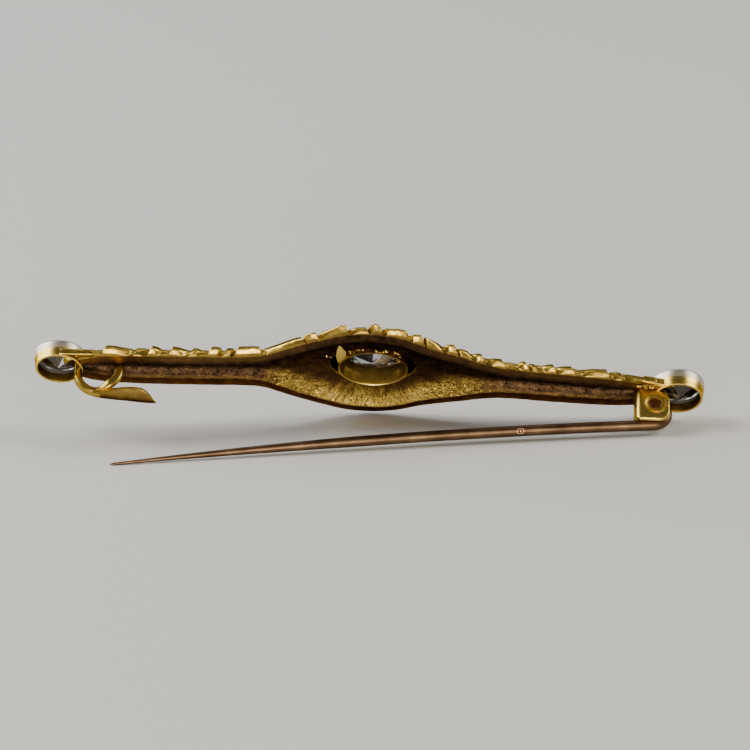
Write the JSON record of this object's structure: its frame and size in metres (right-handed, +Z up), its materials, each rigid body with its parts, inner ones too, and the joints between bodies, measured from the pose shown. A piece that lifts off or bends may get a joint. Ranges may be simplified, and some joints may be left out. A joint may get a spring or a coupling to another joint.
{
  "type": "diamond brooch",
  "caption": "Antique gold bar brooch with a chased leaf front, rub-over set old-cut diamonds and a hinged pin that swings on a rivet and is held by a loop and tongue catch.",
  "frame": {"origin": "on the surface that the brooch rests on, under the middle of its box", "axes": "+X along the bar towards the hinge, +Y towards the side that the stones face, +Z up from the surface"},
  "size_m": [0.0653, 0.0147, 0.0115],
  "materials": {
    "yellow_gold": "chased and softly polished yellow gold, darker in the hollow",
    "white_metal": "polished white metal",
    "diamond": "polished facets",
    "dark_gold": "worn, darkened gold",
    "rose_gold": "softly polished rose gold"
  },
  "bodies": {
    "brooch": {"frame": "yellow_gold", "rim_left": "white_metal", "rim_right": "white_metal", "stone_left": "diamond", "stone_centre": "diamond", "stone_right": "diamond", "rivet": "dark_gold"},
    "pin": {"pin": "rose_gold"}
  },
  "joints": [
    {"name": "pin_hinge", "type": "hinge", "parent": "brooch", "child": "pin", "pos_m": [0.02765, 0.0005, 0.00207], "axis": [0.0559, -0.5857, 0.8086], "range_deg": [-7.2, 70]}
  ]
}
